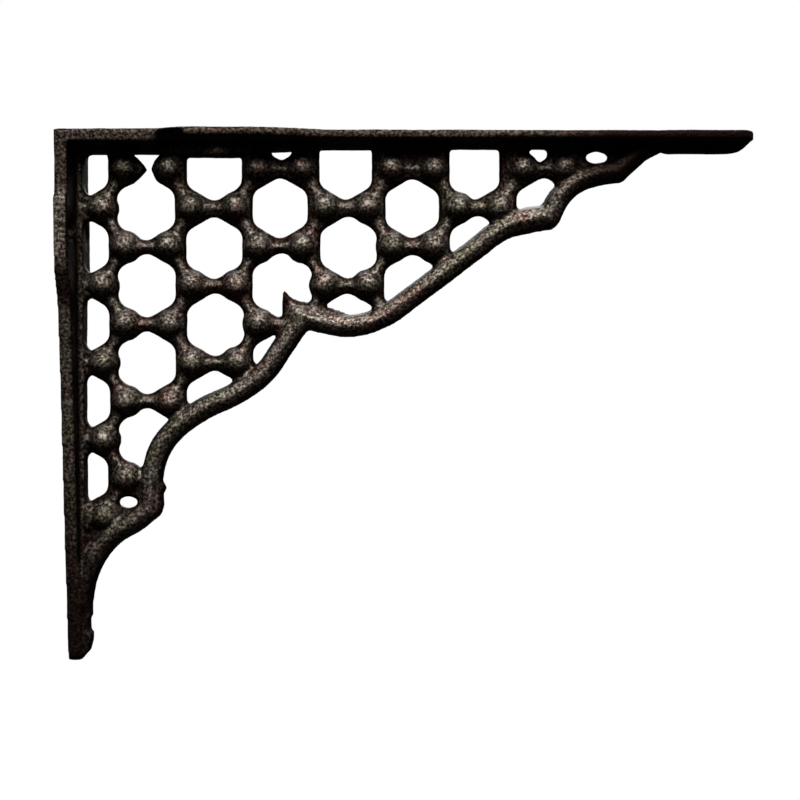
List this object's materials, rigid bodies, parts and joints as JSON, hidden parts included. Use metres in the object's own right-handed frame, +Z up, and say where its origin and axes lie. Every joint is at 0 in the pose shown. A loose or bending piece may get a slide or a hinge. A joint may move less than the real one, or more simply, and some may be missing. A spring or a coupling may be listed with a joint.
{
  "type": "shelf bracket",
  "caption": "Ornate cast iron shelf bracket with a honeycomb web of struts and balls and a scrolled lower bar.",
  "frame": {"origin": "middle of the height of the flat wall face, in the plane of the web", "axes": "+X out from the wall along the shelf leg, +Z up; the honeycomb web lies in the XZ plane"},
  "size_m": [0.249, 0.0344, 0.193],
  "materials": {
    "cast_iron": "sand cast, dark brown-black, worn on the high spots"
  },
  "bodies": {
    "root": {"shelf_bracket": "cast_iron"}
  },
  "joints": []
}
